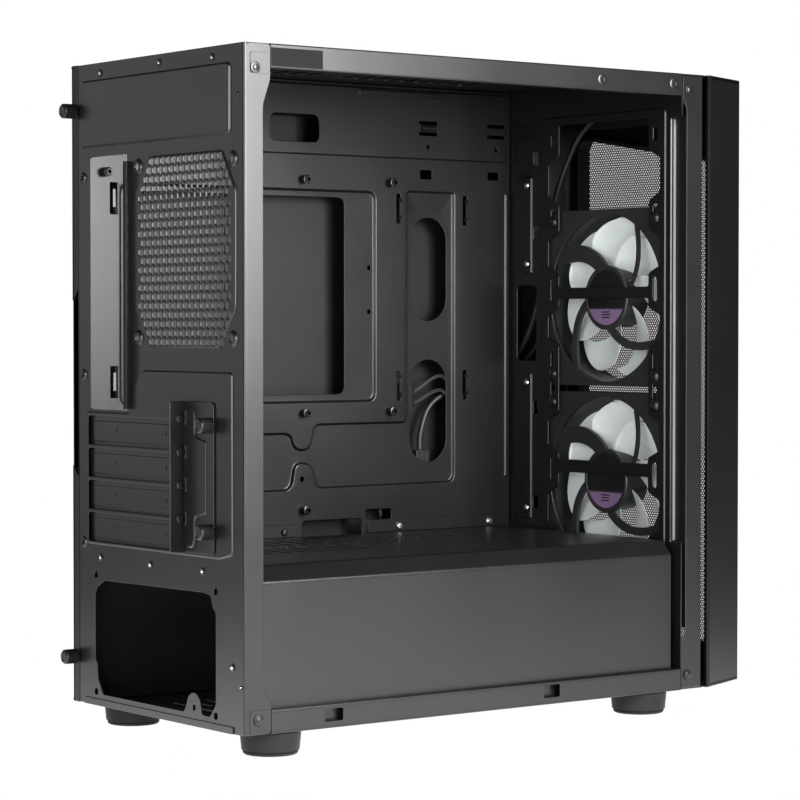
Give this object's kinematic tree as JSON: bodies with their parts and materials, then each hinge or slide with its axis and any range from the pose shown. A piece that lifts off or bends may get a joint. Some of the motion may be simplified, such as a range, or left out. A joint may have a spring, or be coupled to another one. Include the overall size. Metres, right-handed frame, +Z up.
{
  "type": "desktop computer tower",
  "caption": "Micro-tower computer chassis with its left side open: folded steel shell, power-supply shroud, front intake fans, pull-off mesh front and slide-off side panel.",
  "frame": {"origin": "middle of the whole case's base, where the feet meet the floor", "axes": "+X to the right of the case seen from the front, away from the open side; +Y to the back; +Z up"},
  "size_m": [0.1994, 0.4258, 0.421],
  "materials": {
    "painted_steel": "fine-grained matt black powder coat",
    "front_plastic": "fine spark texture, matt black",
    "fan_frame": "satin black moulding",
    "fan_blade": "translucent milky white",
    "fine_mesh": "black painted fine wire mesh",
    "black_screw": "black zinc",
    "port_metal": "plated",
    "foot_rubber": "matt",
    "lead_sheath": "satin",
    "plug_plastic": "matt"
  },
  "bodies": {
    "chassis": {"rear_panel": "painted_steel", "slot_cover_1": "painted_steel", "slot_cover_2": "painted_steel", "slot_cover_3": "painted_steel", "slot_cover_4": "painted_steel", "top_panel": "painted_steel", "bottom_panel": "painted_steel", "motherboard_tray": "painted_steel", "front_chassis_panel": "painted_steel", "psu_shroud": "painted_steel", "drive_cage": "painted_steel", "standoff_1": "black_screw", "standoff_2": "black_screw", "standoff_3": "black_screw", "standoff_4": "black_screw", "standoff_5": "black_screw", "standoff_6": "black_screw", "standoff_7": "black_screw", "standoff_8": "black_screw", "fan_screw_upper_1": "black_screw", "fan_screw_upper_2": "black_screw", "fan_screw_upper_3": "black_screw", "fan_screw_upper_4": "black_screw", "fan_screw_lower_1": "black_screw", "fan_screw_lower_2": "black_screw", "fan_screw_lower_3": "black_screw", "fan_screw_lower_4": "black_screw", "frame_screw_rear_top": "black_screw", "frame_screw_rear_bottom": "black_screw", "frame_screw_front_top": "black_screw", "frame_screw_front_bottom": "black_screw", "foot_rear_left": "foot_rubber", "foot_front_left": "foot_rubber", "foot_rear_right": "foot_rubber", "foot_front_right": "foot_rubber", "front_panel_lead": "lead_sheath", "fan_lead_upper": "lead_sheath", "fan_lead_lower": "lead_sheath", "front_panel_plug": "plug_plastic", "fan_plug": "plug_plastic", "fan_frame_upper": "fan_frame", "fan_frame_lower": "fan_frame"},
    "side_panel": {"right_side_panel": "painted_steel"},
    "panel_screw_upper": {"panel_thumbscrew_upper": "black_screw"},
    "panel_screw_lower": {"panel_thumbscrew_lower": "black_screw"},
    "retainer": {"slot_retainer": "painted_steel"},
    "retainer_screw_upper": {"retainer_thumbscrew_upper": "black_screw"},
    "retainer_screw_lower": {"retainer_thumbscrew_lower": "black_screw"},
    "rotor_upper": {"fan_rotor_upper": "fan_blade"},
    "rotor_lower": {"fan_rotor_lower": "fan_blade"},
    "bezel": {"front_bezel": "front_plastic", "front_mesh": "fine_mesh", "io_module": "front_plastic", "usb_port_1": "port_metal", "usb_port_2": "port_metal", "audio_jack": "port_metal"},
    "power_button": {"power_button": "front_plastic"},
    "reset_button": {"reset_button": "front_plastic"},
    "psu_filter": {"psu_dust_filter": "front_plastic"},
    "top_filter": {"top_dust_filter": "front_plastic"}
  },
  "joints": [
    {"name": "fan_upper_spin", "type": "hinge", "parent": "chassis", "child": "rotor_upper", "pos_m": [-0.01975, -0.15735, 0.2734], "axis": [0, 1, 0], "continuous": true},
    {"name": "fan_lower_spin", "type": "hinge", "parent": "chassis", "child": "rotor_lower", "pos_m": [-0.01975, -0.15735, 0.149], "axis": [0, 1, 0], "continuous": true},
    {"name": "bezel_pull", "type": "slide", "parent": "chassis", "child": "bezel", "axis": [0, -1, 0], "range_m": [0, 0.03]},
    {"name": "power_button_press", "type": "slide", "parent": "bezel", "child": "power_button", "axis": [0, 0, -1], "range_m": [0, 0.0015], "stiffness_N_per_m": 600},
    {"name": "reset_button_press", "type": "slide", "parent": "bezel", "child": "reset_button", "axis": [0, 0, -1], "range_m": [0, 0.0012], "stiffness_N_per_m": 400},
    {"name": "side_panel_slide", "type": "slide", "parent": "chassis", "child": "side_panel", "axis": [0, 1, 0], "range_m": [0, 0.015]},
    {"name": "panel_screw_upper_turn", "type": "hinge", "parent": "side_panel", "child": "panel_screw_upper", "pos_m": [0.09495, 0.20465, 0.3905], "axis": [0, 1, 0], "continuous": true},
    {"name": "panel_screw_lower_turn", "type": "hinge", "parent": "side_panel", "child": "panel_screw_lower", "pos_m": [0.09495, 0.20465, 0.0435], "axis": [0, 1, 0], "continuous": true},
    {"name": "retainer_slide", "type": "slide", "parent": "chassis", "child": "retainer", "axis": [-1, 0, 0], "range_m": [0, 0.012]},
    {"name": "retainer_screw_upper_turn", "type": "hinge", "parent": "chassis", "child": "retainer_screw_upper", "pos_m": [-0.06515, 0.20565, 0.1956], "axis": [0, 1, 0], "continuous": true},
    {"name": "retainer_screw_lower_turn", "type": "hinge", "parent": "chassis", "child": "retainer_screw_lower", "pos_m": [-0.06515, 0.20565, 0.1325], "axis": [0, 1, 0], "continuous": true},
    {"name": "psu_filter_slide", "type": "slide", "parent": "chassis", "child": "psu_filter", "axis": [0, 1, 0], "range_m": [0, 0.12]},
    {"name": "top_filter_lift", "type": "slide", "parent": "chassis", "child": "top_filter", "axis": [0, 0, 1], "range_m": [0, 0.03]}
  ]
}
